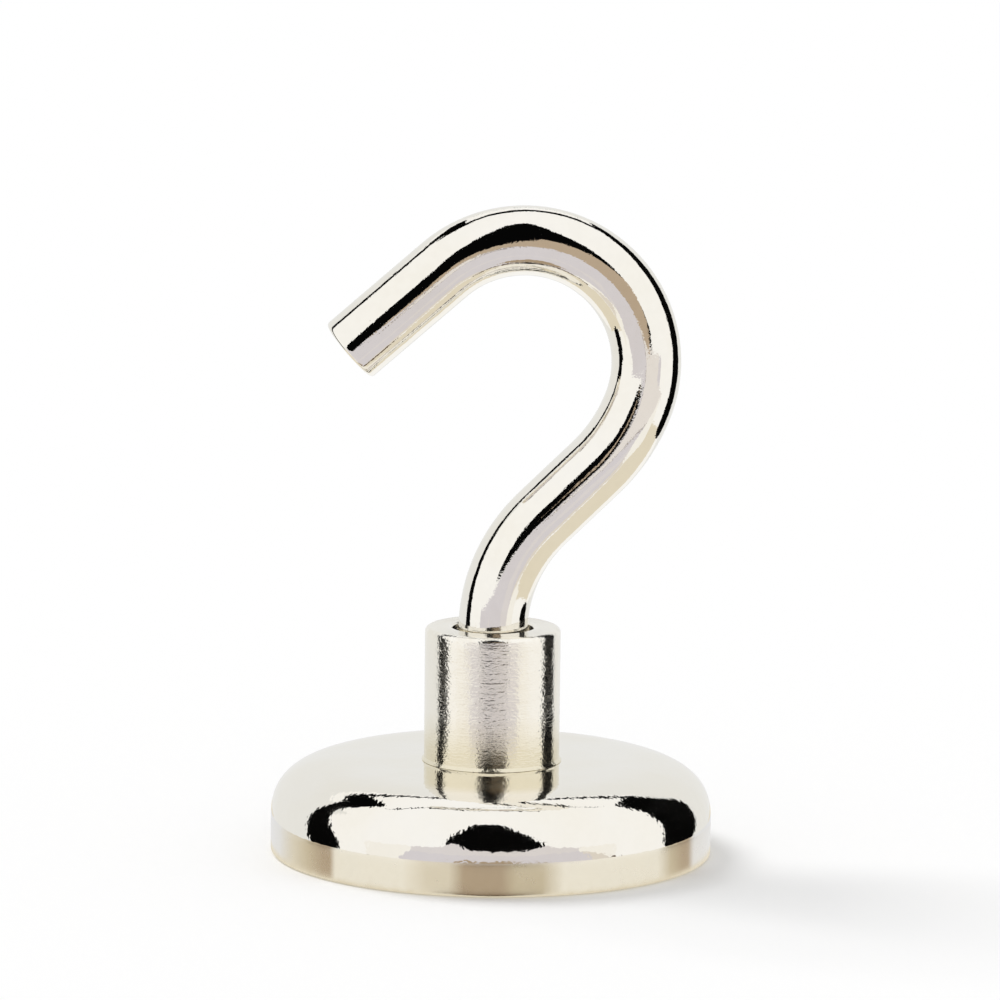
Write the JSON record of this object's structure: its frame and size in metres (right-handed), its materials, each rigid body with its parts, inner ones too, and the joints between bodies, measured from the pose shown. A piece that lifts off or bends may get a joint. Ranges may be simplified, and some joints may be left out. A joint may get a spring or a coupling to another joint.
{
  "type": "magnetic hook",
  "caption": "Small magnetic hook: a round pot magnet with a turned boss on its back and a bent wire hook screwed into the boss.",
  "frame": {"origin": "centre of the pot's open rim, in the plane that sits on the steel it holds to", "axes": "+Z from the rim along the pot's axis to the hook's crown; the hook's wire lies in the plane Y = 0, with its tip towards -X"},
  "size_m": [0.014, 0.014, 0.0206],
  "materials": {
    "polished_nickel": "polished bright nickel plate on steel, with a warm tone",
    "turned_nickel": "nickel plate over a fine lathe-turned surface",
    "drawn_nickel": "bright nickel plate on smooth drawn wire",
    "magnet_nickel": "satin nickel plate on a sintered magnet",
    "cured_resin": "dark cured potting resin"
  },
  "bodies": {
    "magnet_base": {"steel_pot": "polished_nickel", "magnet_disc": "magnet_nickel", "resin_bond": "cured_resin", "threaded_boss": "turned_nickel"},
    "hook": {"wire_hook": "drawn_nickel"}
  },
  "joints": [
    {"name": "hook_turn", "type": "hinge", "parent": "magnet_base", "child": "hook", "pos_m": [0, 0, 0.00722], "axis": [0, 0, 1], "range_deg": [0, 270]}
  ]
}
